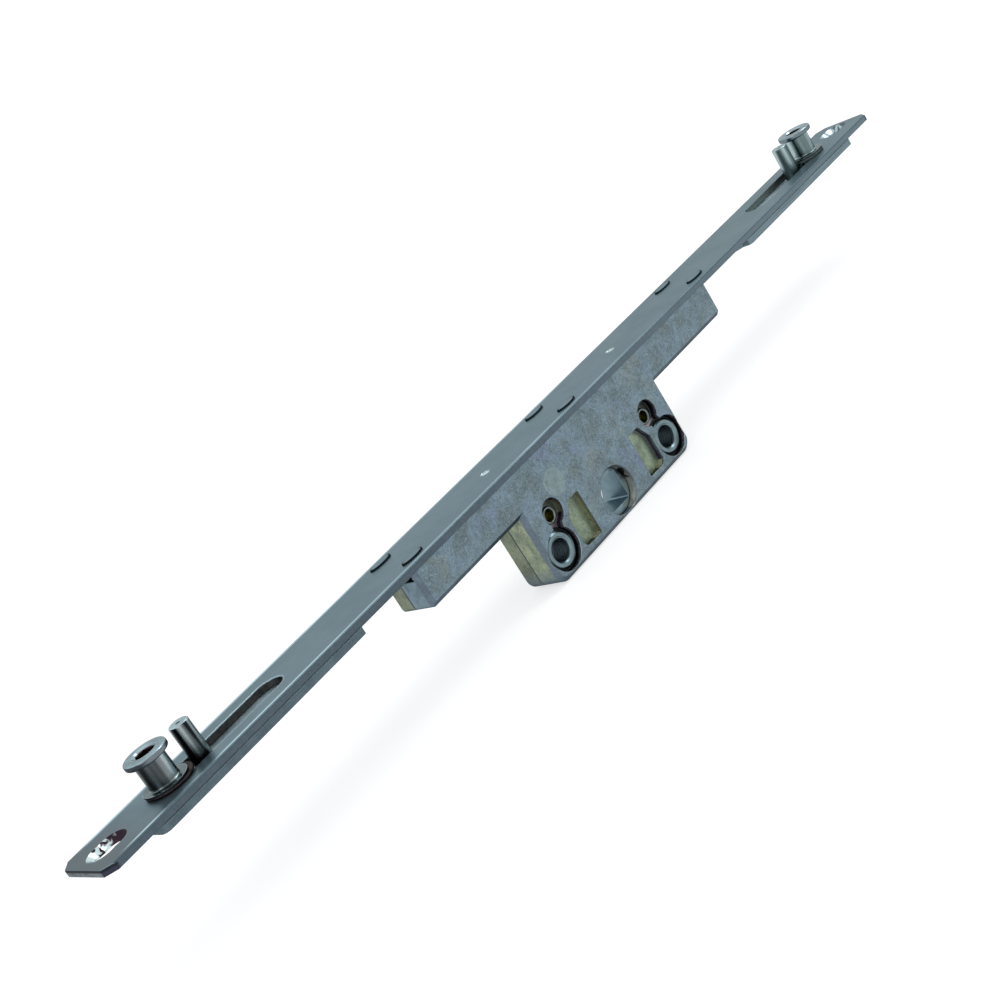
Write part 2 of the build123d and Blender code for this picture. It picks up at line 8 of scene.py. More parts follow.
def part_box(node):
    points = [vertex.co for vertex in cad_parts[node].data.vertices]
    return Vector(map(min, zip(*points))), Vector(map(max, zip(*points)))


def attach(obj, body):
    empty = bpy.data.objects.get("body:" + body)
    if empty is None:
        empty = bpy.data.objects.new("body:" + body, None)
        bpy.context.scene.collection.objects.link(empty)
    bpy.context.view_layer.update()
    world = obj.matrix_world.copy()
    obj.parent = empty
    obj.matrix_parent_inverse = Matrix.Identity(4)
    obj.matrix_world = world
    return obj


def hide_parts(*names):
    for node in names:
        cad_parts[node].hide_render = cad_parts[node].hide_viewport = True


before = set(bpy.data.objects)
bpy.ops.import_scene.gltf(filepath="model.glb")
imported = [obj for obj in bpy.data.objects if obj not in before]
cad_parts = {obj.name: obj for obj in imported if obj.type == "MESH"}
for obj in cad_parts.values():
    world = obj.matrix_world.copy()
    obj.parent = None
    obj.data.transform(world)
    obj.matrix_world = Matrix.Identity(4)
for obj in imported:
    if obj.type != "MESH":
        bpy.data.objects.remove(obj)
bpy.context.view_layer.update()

# Faceplate: one strip of cold-rolled steel, punched, drilled and clear zinc plated.
# Its face keeps the rolling lines and its sheared sides are darker; its corners carry painted
# highlights, and its cut countersinks and two punch marks carry painted highlights, reflections and shade.


def shade(red, green, blue):
    """A colour as it is read off a screen, 0 to 255, in the linear values of a shader."""
    parts = [c / 255 for c in (red, green, blue)]
    return tuple(c / 12.92 if c < 0.04 else ((c + 0.055) / 1.055) ** 2.4 for c in parts) + (1.0,)


def put(tree, kind, inputs=None, **settings):
    """Adds a node to a tree, and sets or links its inputs by name or number."""
    made = tree.nodes.new(kind)
    for name, value in settings.items():
        setattr(made, name, value)
    for key, value in (inputs or {}).items():
        if isinstance(value, bpy.types.NodeSocket):
            tree.links.new(value, made.inputs[key])
        else:
            made.inputs[key].default_value = value
    return made


def maths(tree, operation, *values):
    """Adds a Math node and returns its result."""
    return put(tree, "ShaderNodeMath", dict(enumerate(values)), operation=operation).outputs[0]


def both(tree, *masks):
    """The part that several masks share. A plain number among them thins the rest."""
    shared = masks[0]
    for mask in masks[1:]:
        shared = maths(tree, "MULTIPLY", shared, mask)
    return shared


def outside(tree, mask):
    """The part that a mask leaves."""
    return maths(tree, "SUBTRACT", 1.0, mask)


def step_up(tree, value, low, high):
    """Runs smoothly from 0 at low to 1 at high."""
    made = put(tree, "ShaderNodeMapRange", {"Value": value, "From Min": low, "From Max": high},
               interpolation_type="SMOOTHSTEP")
    return made.outputs["Result"]


def from_middle(tree, value, middle):
    """How far a value is from a middle, to either side."""
    return maths(tree, "ABSOLUTE", maths(tree, "SUBTRACT", value, middle))


def reach_of(tree, one, two):
    """The length of the two sides together, as the radius round an axis."""
    squares = maths(tree, "ADD", maths(tree, "MULTIPLY", one, one), maths(tree, "MULTIPLY", two, two))
    return maths(tree, "SQRT", squares)


def split(tree, vector):
    """The three parts of a place or a direction."""
    return put(tree, "ShaderNodeSeparateXYZ", {0: vector}).outputs


def coat(tree, under, over, *shares):
    """Lays one colour over another, as far as all the shares let it."""
    mixed = put(tree, "ShaderNodeMix", {0: both(tree, *shares), 6: under, 7: over}, data_type="RGBA")
    return mixed.outputs[2]


def start_group(name, inputs, outputs):
    """Starts a shader node group with named float or vector inputs and float outputs."""
    tree = bpy.data.node_groups.new(name, "ShaderNodeTree")
    for label, value in inputs.items():
        kind = "NodeSocketVector" if value is None else "NodeSocketFloat"
        socket = tree.interface.new_socket(name=label, in_out="INPUT", socket_type=kind)
        if value is not None:
            socket.default_value = value
    for label in outputs:
        tree.interface.new_socket(name=label, in_out="OUTPUT", socket_type="NodeSocketFloat")
    return tree, tree.nodes.new("NodeGroupInput").outputs, tree.nodes.new("NodeGroupOutput").inputs


def use_group(tree, group, inputs):
    """Places a node group in a material and returns its outputs."""
    return put(tree, "ShaderNodeGroup", inputs, node_tree=group).outputs


def patchy(tree, vector, patch, count, detail, roughness):
    """Cloudy noise with so many clouds to a patch."""
    scale = maths(tree, "DIVIDE", count, patch)
    return put(tree, "ShaderNodeTexNoise", {"Vector": vector, "Scale": scale, "Detail": detail,
                                            "Roughness": roughness}).outputs


# Clouding of the plating: soft patches of two sizes
clouding, entry, leave = start_group(
    "plating_clouds", {"Vector": None, "Patch": 0.006}, ["Clouds", "Specks"])
broad = patchy(clouding, entry["Vector"], entry["Patch"], count=1.0, detail=5.0, roughness=0.6)["Fac"]
clouding.links.new(step_up(clouding, broad, 0.32, 0.68), leave["Clouds"])
tiny = patchy(clouding, entry["Vector"], entry["Patch"], count=14.0, detail=3.0, roughness=0.7)["Fac"]
clouding.links.new(step_up(clouding, tiny, 0.35, 0.7), leave["Specks"])

# Drawn lines: long fine streaks along the first axis, from rolling, drawing or turning
drawing, entry, leave = start_group(
    "drawn_lines", {"Vector": None, "Width": 0.0002, "Length": 0.02, "Fineness": 3.0}, ["Lines"])
apart = split(drawing, entry["Vector"])
stretched = put(drawing, "ShaderNodeCombineXYZ", {
    0: maths(drawing, "DIVIDE", apart[0], entry["Length"]),
    1: maths(drawing, "DIVIDE", apart[1], entry["Width"]),
    2: maths(drawing, "DIVIDE", apart[2], entry["Width"])})
streaks = put(drawing, "ShaderNodeTexNoise", {"Vector": stretched.outputs[0], "Scale": 1.0,
                                              "Detail": entry["Fineness"], "Roughness": 0.65})
drawing.links.new(step_up(drawing, streaks.outputs["Fac"], 0.3, 0.7), leave["Lines"])

# Rubbed edges: a mask of the corners of a piece, where handling keeps them bright and where painted
# highlights go
rubbing_and_highlights, entry, leave = start_group("rubbed_and_highlit_edges", {"Width": 0.0002, "Breakup": 0.0}, ["Mask"])
softened = put(rubbing_and_highlights, "ShaderNodeBevel", {"Radius": entry["Width"]}, samples=4)
plain = put(rubbing_and_highlights, "ShaderNodeNewGeometry")
turned_off = put(rubbing_and_highlights, "ShaderNodeVectorMath", {0: softened.outputs[0], 1: plain.outputs["Normal"]},
                 operation="DOT_PRODUCT")
edge = step_up(rubbing_and_highlights, turned_off.outputs["Value"], 0.99, 0.86)
rubbing_and_highlights.links.new(both(rubbing_and_highlights, edge, outside(rubbing_and_highlights, entry["Breakup"])), leave["Mask"])

# Crevice grime and painted shade: a mask of the corners and hollows that a cloth doesn't reach and where
# shade falls
soiling_and_shading, entry, leave = start_group("crevice_dirt_and_shade", {"Reach": 0.001, "Clean": 0.85, "Black": 0.35}, ["Mask"])
hollow = put(soiling_and_shading, "ShaderNodeAmbientOcclusion", {"Distance": entry["Reach"]}, samples=8, only_local=True)
soiling_and_shading.links.new(step_up(soiling_and_shading, hollow.outputs["AO"], entry["Clean"], entry["Black"]), leave["Mask"])


def start_metal(name, roughness, metallic=1.0):
    """Starts a metal: returns its material and tree, and where a point of it lies and which way it faces."""
    material = bpy.data.materials.new(name)
    material.use_nodes = True
    tree = material.node_tree
    shader = tree.nodes["Principled BSDF"]
    shader.inputs["Metallic"].default_value = metallic
    shader.inputs["Roughness"].default_value = roughness
    shader.inputs["Specular Tint"].default_value = (0.6, 0.6, 0.6, 1.0)
    coordinates = put(tree, "ShaderNodeTexCoord").outputs
    return material, tree, coordinates["Object"], coordinates["Normal"]


def finish_metal(tree, tint, rough, height, depth, corner):
    """Feeds a metal's colour, roughness and height to its shader; depth and corner are sizes in metres."""
    shader = tree.nodes["Principled BSDF"]
    tree.links.new(tint, shader.inputs["Base Color"])
    tree.links.new(rough, shader.inputs["Roughness"])
    rounded = put(tree, "ShaderNodeBevel", {"Radius": corner}, samples=4)
    made = put(tree, "ShaderNodeBump", {"Height": height, "Distance": depth, "Normal": rounded.outputs[0]})
    tree.links.new(made.outputs[0], shader.inputs["Normal"])


def wear(material, *nodes):
    """Puts a material on CAD nodes, in every slot."""
    for name in nodes:
        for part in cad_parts[name].material_slots:
            part.material = material


plate_face = shade(122, 146, 156)
plate_dull = shade(114, 136, 145)
plate_tip = shade(106, 116, 121)
plate_side = shade(80, 95, 103)
plate_side_speck = shade(102, 108, 120)
plate_corner_highlight = shade(196, 226, 236)
turned_edge_shade = shade(70, 84, 92)
tip_shade = shade(20, 20, 24)
slot_wall = shade(92, 88, 82)
countersink_reflection = shade(206, 224, 226)
countersink_shade = shade(52, 40, 50)
punch_mark_highlight = shade(222, 246, 250)
plate_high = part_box("faceplate")[1]
plate_top = plate_high.z
plate_edge = plate_high.y
tip_dull = (0.122, 0.137)
tip_cut_place = 0.1375
slot_edge = 0.0040
slots_end = 0.130
edge_line = (0.00115, 0.00080, 0.00050, 0.00022)
side_light_along = (-0.06, 0.13)
bright_until = (0.040, -0.010)
screw_place = 0.1342
screw_reach = 0.0045
screw_edge = 0.0036
blotches_per_metre = 700.0
fades_per_metre = 28.0
dimple_place = 0.0242
dimple_reach = 0.001122

plate_metal, tree, place, normal = start_metal("plated_strip", 0.4)
where = split(tree, place)
facing = split(tree, normal)
clouds = use_group(tree, clouding, {"Vector": place, "Patch": 0.012})
lines = use_group(tree, drawing, {"Vector": place, "Width": 0.00016, "Length": 0.03})["Lines"]
along = maths(tree, "ABSOLUTE", where[0])
across = maths(tree, "ABSOLUTE", where[1])
upright = step_up(tree, maths(tree, "ABSOLUTE", facing[2]), 0.6, 0.4)
tint = coat(tree, plate_face, plate_dull, clouds["Clouds"], 0.7)
tint = coat(tree, tint, plate_dull, lines, 0.1)
tint = coat(tree, tint, plate_tip, step_up(tree, where[0], -tip_dull[0], -tip_dull[1]), 0.8)
# The sheared sides, speckled where the shear has torn them, and painted lighter towards the far end, as more
# lit there
sheared = coat(tree, plate_side, plate_side_speck, clouds["Specks"], 0.5)
sheared = coat(tree, sheared, shade(66, 78, 84), lines, 0.3)
sheared = coat(tree, sheared, shade(112, 128, 136), step_up(tree, where[0], *side_light_along), 0.7)
# The cut tips, in painted shade, with a painted highlight along their foot
at_tip = step_up(tree, along, tip_cut_place - 0.0003, tip_cut_place + 0.0003)
foot = step_up(tree, where[2], plate_top - 0.0005, plate_top - 0.0008)
square_on = step_up(tree, maths(tree, "ABSOLUTE", facing[0]), 0.8, 0.9)
foot_highlight = coat(tree, shade(128, 138, 144), shade(92, 98, 104), clouds["Specks"])
tip_cut = coat(tree, tip_shade, coat(tree, shade(50, 50, 66), foot_highlight, square_on), foot)
sheared = coat(tree, sheared, tip_cut, at_tip, 0.85)
# The walls of the slots, brown near by, and painted paler at the far end, as more lit there
in_slot = both(tree, step_up(tree, across, slot_edge, slot_edge - 0.0002),
               step_up(tree, along, slots_end, slots_end - 0.002))
slotted = coat(tree, slot_wall, shade(70, 66, 62), clouds["Specks"])
slotted = coat(tree, slotted, shade(128, 136, 130), step_up(tree, where[0], -0.02, 0.02))
sheared = coat(tree, sheared, slotted, in_slot, 0.9)
tint = coat(tree, tint, sheared, upright)
# Painted highlights on the corners of the near half, fading here and there along the strip, and painted
# shade on the turned-down edge
fade = put(tree, "ShaderNodeTexNoise", {"Vector": place, "Scale": fades_per_metre, "Detail": 2.0})
worn_and_highlit = use_group(tree, rubbing_and_highlights, {"Width": 0.0006, "Breakup": 0.0})["Mask"]
top_edge = step_up(tree, where[2], plate_top - 0.00042, plate_top - 0.00022)
near_half = step_up(tree, where[0], *bright_until)
long_edge_highlight = both(tree, step_up(tree, across, plate_edge - edge_line[0], plate_edge - edge_line[1]),
                 step_up(tree, across, plate_edge - edge_line[3], plate_edge - edge_line[2]),
                 outside(tree, upright), near_half)
slot_lip_highlight = both(tree, worn_and_highlit, in_slot, top_edge, near_half)
highlight_fade = maths(tree, "ADD", 0.4, both(tree, step_up(tree, fade.outputs["Fac"], 0.38, 0.6), 0.6))
short_of_tip = step_up(tree, along, tip_dull[1], tip_dull[1] - 0.006)
tint = coat(tree, tint, plate_corner_highlight, maths(tree, "MAXIMUM", long_edge_highlight, slot_lip_highlight), highlight_fade, short_of_tip)
turned_down = step_up(tree, across, plate_edge - 0.00034, plate_edge - 0.00012)
tint = coat(tree, tint, turned_edge_shade, turned_down, top_edge, 0.75)
# Cut metal of the countersinks, painted with bright reflections and dark blotches of shade, and the two
# punch marks
sunk = step_up(tree, where[2], plate_top - 0.00002, plate_top - 0.00007)
at_screw = both(tree, sunk, maths(tree, "LESS_THAN", from_middle(tree, along, screw_place), screw_reach),
                maths(tree, "LESS_THAN", across, screw_edge))
blotch = put(tree, "ShaderNodeTexNoise", {"Vector": place, "Scale": blotches_per_metre, "Detail": 2.5,
                                          "Distortion": 0.5})
# The painted shade falls most on the walls that face the near end, and less at the far end, as more lit
# there
reflection_split = maths(tree, "SUBTRACT", blotch.outputs["Fac"], both(tree, facing[0], 0.3))
at_far_end = maths(tree, "GREATER_THAN", where[0], 0.0)
reflection_split = maths(tree, "SUBTRACT", reflection_split, both(tree, at_far_end, 0.14))
cut = coat(tree, countersink_reflection, countersink_shade, step_up(tree, reflection_split, 0.5, 0.6))
cut = coat(tree, cut, plate_face, at_far_end, 0.45)
tint = coat(tree, tint, cut, at_screw)
# The punch marks, painted bright as highlights in their hollows
at_mark = both(tree, maths(tree, "LESS_THAN", from_middle(tree, along, dimple_place), dimple_reach),
               maths(tree, "LESS_THAN", across, dimple_reach), sunk)
tint = coat(tree, tint, punch_mark_highlight, at_mark)
rough = maths(tree, "ADD", 0.34, both(tree, clouds["Clouds"], 0.08))
rough = maths(tree, "SUBTRACT", rough, both(tree, maths(tree, "MAXIMUM", at_screw, at_mark), 0.14))
rise = maths(tree, "ADD", lines, both(tree, clouds["Specks"], 0.5))
finish_metal(tree, tint, rough, rise, depth=0.000002, corner=0.0003)
wear(plate_metal, "faceplate")

# Gearbox case: two halves of die-cast zinc, passivated, closed on the mechanism and
# riveted over the faceplate by their six lugs. The passivation dries blue-grey and
# webbed on the faces, and stays olive in the recesses and on the end faces.
casting, entry, leave = start_group("cast_skin", {"Vector": None, "Patch": 0.004}, [
    "Patches", "Drift", "Web", "Threads", "Gleam", "Grain", "Height"])
patch = entry["Patch"]
bent = patchy(casting, entry["Vector"], patch, count=1.4, detail=3.0, roughness=0.5)["Color"]
centred = put(casting, "ShaderNodeVectorMath", {0: bent, 1: (0.5, 0.5, 0.5)}, operation="SUBTRACT")
push = put(casting, "ShaderNodeVectorMath", {0: centred.outputs[0], "Scale": both(casting, patch, 1.1)},
           operation="SCALE")
moved = put(casting, "ShaderNodeVectorMath", {0: entry["Vector"], 1: push.outputs[0]}, operation="ADD")
pushed = moved.outputs[0]
patches = patchy(casting, pushed, patch, count=1.0, detail=6.0, roughness=0.62)["Fac"]
casting.links.new(step_up(casting, patches, 0.36, 0.64), leave["Patches"])
drift = patchy(casting, pushed, patch, count=0.55, detail=3.0, roughness=0.55)["Fac"]
casting.links.new(drift, leave["Drift"])
veins = patchy(casting, pushed, patch, count=2.8, detail=4.0, roughness=0.6)["Fac"]
casting.links.new(step_up(casting, from_middle(casting, veins, 0.5), 0.035, 0.0), leave["Web"])
fine = patchy(casting, pushed, patch, count=6.5, detail=2.0, roughness=0.5)["Fac"]
casting.links.new(step_up(casting, from_middle(casting, fine, 0.48), 0.04, 0.0), leave["Threads"])
casting.links.new(step_up(casting, from_middle(casting, fine, 0.57), 0.035, 0.0), leave["Gleam"])
grain = patchy(casting, entry["Vector"], patch, count=13.0, detail=3.0, roughness=0.7)["Fac"]
casting.links.new(grain, leave["Grain"])
rise = maths(casting, "ADD", both(casting, patches, 0.5), both(casting, grain, 0.5))
casting.links.new(rise, leave["Height"])

case_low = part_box("case_front")[0]
case_face = 0.00535
case_seam = 0.0005
case_bottom = -0.00575
case_top = 0.0205
deep_end = 0.0268
arm_end = 0.0566
bush_place = 0.0215
recess_reach = 0.00465
recess_top = 0.0115
ring_inner = 0.0040
ring_outer = 0.00485
rivet_place = 0.0189
rivet_height = 0.007
rivet_recess_middle = 0.0076
neck_reach = (0.0042, 0.0032)
neck_turns_dark = (0.0052, 0.0068)
pocket_end = 0.0163
pocket_middle = 0.0132
gold_right = (0.0006, 0.0013)
bore_reach = 0.0060
parting_half = (0.00026, 0.00014)
glint_reach = (0.0053, 0.0050)
glint_right = (0.0024, 0.0032)
glint_height = (0.0012, 0.0004)
lug_head_place = 0.0543
lug_head_middle = 0.0050
lug_head_half = (0.0030, 0.0012)
lug_shadow = shade(18, 32, 36)
cast_patch = 0.0042


def cast_metal(name, pale, dark, end_pale, end_dark):
    """The finish of one case half: webbed blue-grey outside, olive where it is sunk and on its ends."""
    material, tree, place, normal = start_metal(name, 0.42, 0.9)
    where = split(tree, place)
    facing = split(tree, normal)
    skin = use_group(tree, casting, {"Vector": place, "Patch": cast_patch})
    along = maths(tree, "ABSOLUTE", where[0])
    across = maths(tree, "ABSOLUTE", where[1])
    at_far_side = maths(tree, "GREATER_THAN", where[0], 0.0)
    before_seam = maths(tree, "LESS_THAN", where[1], case_seam)
    # The outside: pale and dark patches, a drift of blue and of straw, dark webs and pale gleams
    tint = coat(tree, pale, dark, skin["Patches"])
    tint = coat(tree, tint, shade(128, 142, 172), step_up(tree, skin["Drift"], 0.56, 0.7), 0.6)
    tint = coat(tree, tint, shade(142, 146, 128), step_up(tree, skin["Drift"], 0.46, 0.32), 0.3)
    tint = coat(tree, tint, shade(78, 94, 100), skin["Web"], 0.5)
    tint = coat(tree, tint, shade(78, 94, 102), skin["Threads"], 0.55)
    tint = coat(tree, tint, shade(146, 172, 182), skin["Gleam"], 0.5)
    tint = coat(tree, tint, shade(158, 182, 192), step_up(tree, skin["Grain"], 0.53, 0.7), 0.2)
    bevel = both(tree, step_up(tree, maths(tree, "ABSOLUTE", facing[0]), 0.4, 0.6),
                 step_up(tree, maths(tree, "ABSOLUTE", facing[1]), 0.3, 0.5))
    tint = coat(tree, tint, shade(92, 102, 116), bevel, 0.6)
    # The end faces: straw, blue-grey low down, and blue-grey on the front half of the arms' ends
    on_end = both(tree, step_up(tree, maths(tree, "ABSOLUTE", facing[0]), 0.84, 0.94),
                  maths(tree, "GREATER_THAN", along, deep_end - 0.0035))
    low_down = step_up(tree, where[2], case_bottom + 0.0055, case_bottom + 0.002)
    end_tint = coat(tree, end_pale, end_dark, skin["Patches"])
    end_tint = coat(tree, end_tint, shade(98, 100, 84), skin["Web"], 0.6)
    end_tint = coat(tree, end_tint, dark, low_down, 0.8)
    on_arm_front = both(tree, maths(tree, "GREATER_THAN", along, arm_end - 0.002), before_seam)
    end_tint = coat(tree, end_tint, coat(tree, pale, shade(104, 122, 130), skin["Patches"]), on_arm_front)
    tint = coat(tree, tint, end_tint, on_end, 0.9)
    # The underside, in painted shade
    tint = coat(tree, tint, shade(54, 72, 86), step_up(tree, facing[2], -0.2, -0.75), 0.75)
    # The sunk floors: olive, and in the necks of the keyholes rose below and dark above
    from_bush = reach_of(tree, from_middle(tree, along, bush_place), where[2])
    inwards = maths(tree, "MAXIMUM", step_up(tree, along, deep_end - 0.0038, deep_end - 0.0042),
                    step_up(tree, from_bush, recess_reach + 0.0002, recess_reach + 0.0001))
    deep = both(tree, step_up(tree, across, case_face - 0.00025, case_face - 0.0006), inwards,
                step_up(tree, where[2], case_bottom + 0.0006, case_bottom + 0.0008),
                step_up(tree, where[2], recess_top + 0.0003, recess_top - 0.0003))
    olive = coat(tree, shade(150, 166, 140), shade(118, 132, 116), skin["Patches"])
    olive = coat(tree, olive, shade(176, 188, 160), skin["Gleam"], 0.4)
    olive = coat(tree, olive, shade(92, 98, 80), skin["Web"], 0.4)
    from_rivet = reach_of(tree, from_middle(tree, along, rivet_place),
                          maths(tree, "SUBTRACT", where[2], rivet_recess_middle))
    in_neck = both(tree, step_up(tree, from_bush, ring_inner, ring_inner + 0.0008),
                   step_up(tree, from_rivet, *neck_reach))
    neck_above = coat(tree, shade(20, 22, 20), shade(84, 88, 80), skin["Grain"])
    neck_tint = coat(tree, shade(150, 134, 140), neck_above, step_up(tree, where[2], *neck_turns_dark))
    olive = coat(tree, olive, neck_tint, in_neck, 0.9)
    tint = coat(tree, tint, olive, deep, 0.9)
    # The sunk walls, in near-black painted shade with a purple tint, lighter along their lips with painted
    # glints
    walls = both(tree, deep, step_up(tree, maths(tree, "ABSOLUTE", facing[1]), 0.7, 0.4))
    wall_shade = coat(tree, shade(18, 17, 26), shade(70, 54, 84), step_up(tree, skin["Drift"], 0.42, 0.6))
    near_lip = step_up(tree, across, case_face - 0.0010, case_face - 0.0004)
    wall_shade = coat(tree, wall_shade, shade(112, 104, 124), near_lip, 0.7)
    wall_shade = coat(tree, wall_shade, shade(206, 214, 218), both(
        tree, near_lip, step_up(tree, skin["Grain"], 0.5, 0.58)), 0.8)
    # The pocket walls: straw with a rose lip in the near pocket, purple in the far one, and where they
    # look up a painted gold highlight at the end nearer the far tip, with painted shade on the rest
    lip_part = step_up(tree, across, case_face - 0.0010, case_face - 0.0006)
    straw = coat(tree, shade(184, 182, 150), shade(132, 128, 100), skin["Web"])
    rose = coat(tree, shade(170, 146, 134), shade(112, 90, 90), skin["Web"])
    purple = coat(tree, shade(124, 124, 160), shade(84, 76, 112), skin["Patches"])
    pocket_wall = coat(tree, coat(tree, straw, rose, lip_part),
                       coat(tree, shade(66, 56, 84), purple, lip_part), at_far_side)
    side = maths(tree, "SUBTRACT", maths(tree, "MULTIPLY", at_far_side, 2.0), 1.0)
    rightward = maths(tree, "SUBTRACT", where[0], both(tree, side, pocket_middle))
    gold = coat(tree, shade(70, 72, 44), shade(250, 244, 214), step_up(tree, rightward, *gold_right))
    pocket_wall = coat(tree, pocket_wall, gold, step_up(tree, facing[2], 0.55, 0.8))
    wall_shade = coat(tree, wall_shade, pocket_wall, step_up(tree, along, pocket_end + 0.0001, pocket_end - 0.0001))
    tint = coat(tree, tint, wall_shade, walls, 0.95)
    # Painted shade: black rings in the gaps round the bushes
    in_ring = both(tree, step_up(tree, across, case_face - 0.0010, case_face - 0.0013), deep,
                   step_up(tree, from_bush, ring_outer + 0.00015, ring_outer - 0.00015),
                   step_up(tree, from_bush, ring_inner - 0.0001, ring_inner + 0.0001))
    tint = coat(tree, tint, shade(14, 16, 18), in_ring, 0.92)
    # The bores round the follower: rose with black oil before the seam, blue-grey behind it
    in_bore = both(tree, deep, step_up(tree, reach_of(tree, where[0], where[2]),
                                       bore_reach + 0.0002, bore_reach - 0.0002))
    oiled = coat(tree, shade(202, 204, 190), shade(176, 152, 148), skin["Patches"], 0.4)
    oiled = coat(tree, oiled, shade(34, 28, 32), step_up(tree, skin["Drift"], 0.58, 0.64))
    tint = coat(tree, tint, coat(tree, shade(128, 148, 156), oiled, before_seam), in_bore)
    # The parting line, a painted shadow round the rolled lugs, painted highlights on the corners, and grime
    # and painted shade in the hollows
    parting = both(tree, step_up(tree, from_middle(tree, where[1], case_seam), *parting_half),
                   step_up(tree, where[2], case_top, case_top - 0.0004))
    tint = coat(tree, tint, shade(56, 54, 46), parting, 0.8)
    lug_along = maths(tree, "MINIMUM", along, from_middle(tree, along, lug_head_place))
    lug_reach = reach_of(tree, maths(tree, "DIVIDE", lug_along, lug_head_half[0]), maths(
        tree, "DIVIDE", from_middle(tree, across, lug_head_middle), lug_head_half[1]))
    on_lug = step_up(tree, where[2], plate_top - 0.0002, plate_top + 0.00002)
    lug_tint = coat(tree, plate_face, plate_dull, skin["Patches"], 0.5)
    lug_tint = coat(tree, lug_tint, lug_shadow, step_up(tree, lug_reach, 0.80, 0.9))
    tint = coat(tree, tint, lug_tint, on_lug)
    worn_and_highlit = use_group(tree, rubbing_and_highlights, {"Width": 0.0003, "Breakup": both(tree, skin["Grain"], 0.7)})["Mask"]
    off_lug = outside(tree, on_lug)
    tint = coat(tree, tint, shade(158, 178, 188), worn_and_highlit, off_lug, outside(tree, walls), 0.4)
    # A glint at the right of each bush's recess
    rightward = maths(tree, "SUBTRACT", where[0], both(tree, side, bush_place))
    glint = both(tree, worn_and_highlit, step_up(tree, from_bush, *glint_reach),
                 step_up(tree, rightward, *glint_right), step_up(tree, where[2], *glint_height))
    tint = coat(tree, tint, shade(226, 236, 240), glint)
    dirt_and_shade = use_group(tree, soiling_and_shading, {"Reach": 0.0005, "Clean": 0.75, "Black": 0.4})["Mask"]
    tint = coat(tree, tint, shade(46, 48, 52), dirt_and_shade, off_lug, 0.6)
    rough = maths(tree, "ADD", 0.36, both(tree, skin["Patches"], 0.14))
    rough = maths(tree, "ADD", rough, both(tree, skin["Web"], 0.08))
    finish_metal(tree, tint, rough, skin["Height"], depth=0.00003, corner=0.0003)
    return material


front_metal = cast_metal("cast_zinc_front", shade(120, 140, 152), shade(112, 126, 130),
                         shade(158, 168, 138), shade(124, 134, 118))
back_metal = cast_metal("cast_zinc_back", shade(120, 136, 142), shade(108, 120, 122),
                        shade(130, 138, 116), shade(110, 118, 102))
wear(front_metal, "case_front")
wear(back_metal, "case_back")

# Follower: a sintered steel hub, zinc plated, with the square hole for the handle spindle.
# Its collars turn in the bores of the case halves, and the narrow gap round each is painted as a black ring
# of shade.
hub_edge = 0.0052
hub_metal, tree, place, normal = start_metal("plated_hub", 0.34)
where = split(tree, place)
facing = split(tree, normal)
clouds = use_group(tree, clouding, {"Vector": place, "Patch": 0.004})
worn_and_highlit = use_group(tree, rubbing_and_highlights, {"Width": 0.00018, "Breakup": 0.1})["Mask"]
tint = coat(tree, shade(126, 146, 152), shade(108, 128, 136), clouds["Clouds"])
# The walls of the square hole and the round sides of the collars, painted lighter where light falls on them
in_square = step_up(tree, maths(tree, "ABSOLUTE", facing[1]), 0.6, 0.3)
lit_square = coat(tree, shade(128, 152, 162), shade(112, 136, 146), clouds["Clouds"])
tint = coat(tree, tint, lit_square, in_square, 0.85)
# Painted highlights on the corners
tint = coat(tree, tint, shade(150, 174, 182), worn_and_highlit, 0.4)
# Painted shade: a black ring in the gap between each collar and its bore
gap_shade_ring = step_up(tree, reach_of(tree, where[0], where[2]), hub_edge - 0.00018, hub_edge - 0.00006)
tint = coat(tree, tint, shade(16, 16, 18), gap_shade_ring)
rough = maths(tree, "ADD", 0.28, both(tree, clouds["Specks"], 0.12))
finish_metal(tree, tint, rough, clouds["Specks"], depth=0.000006, corner=0.00015)
wear(hub_metal, "follower")

# Mechanism inside the case: blanked steel racks, the pinion and the pins they run on.
# They are left unplated and thinly greased, with grease and painted shade darkest in the roots of the teeth,
# and painted highlights on their edges.
inner_metal, tree, place, _ = start_metal("greased_steel", 0.3)
clouds = use_group(tree, clouding, {"Vector": place, "Patch": 0.005})
lines = use_group(tree, drawing, {"Vector": place, "Width": 0.0002, "Length": 0.01})["Lines"]
worn_and_highlit = use_group(tree, rubbing_and_highlights, {"Width": 0.0002, "Breakup": both(tree, clouds["Specks"], 0.5)})["Mask"]
tint = coat(tree, shade(132, 136, 138), shade(104, 104, 98), clouds["Clouds"])
tint = coat(tree, tint, shade(84, 86, 86), lines, 0.3)
tint = coat(tree, tint, shade(176, 180, 180), worn_and_highlit, 0.4)
dirt_and_shade = use_group(tree, soiling_and_shading, {"Reach": 0.0008, "Clean": 0.8, "Black": 0.3})["Mask"]
tint = coat(tree, tint, shade(48, 42, 30), dirt_and_shade, 0.8)
rough = maths(tree, "ADD", 0.22, both(tree, clouds["Clouds"], 0.16))
finish_metal(tree, tint, rough, lines, depth=0.000008, corner=0.00012)
wear(inner_metal, "near_rack", "far_rack", "reversing_pinion", "pinion_axle", "rack_guide_pins")

# Handle bushes: turned steel, zinc plated, pressed into the case and threaded right
# through for the handle's screws. The thread is a ridge that winds along the bore.


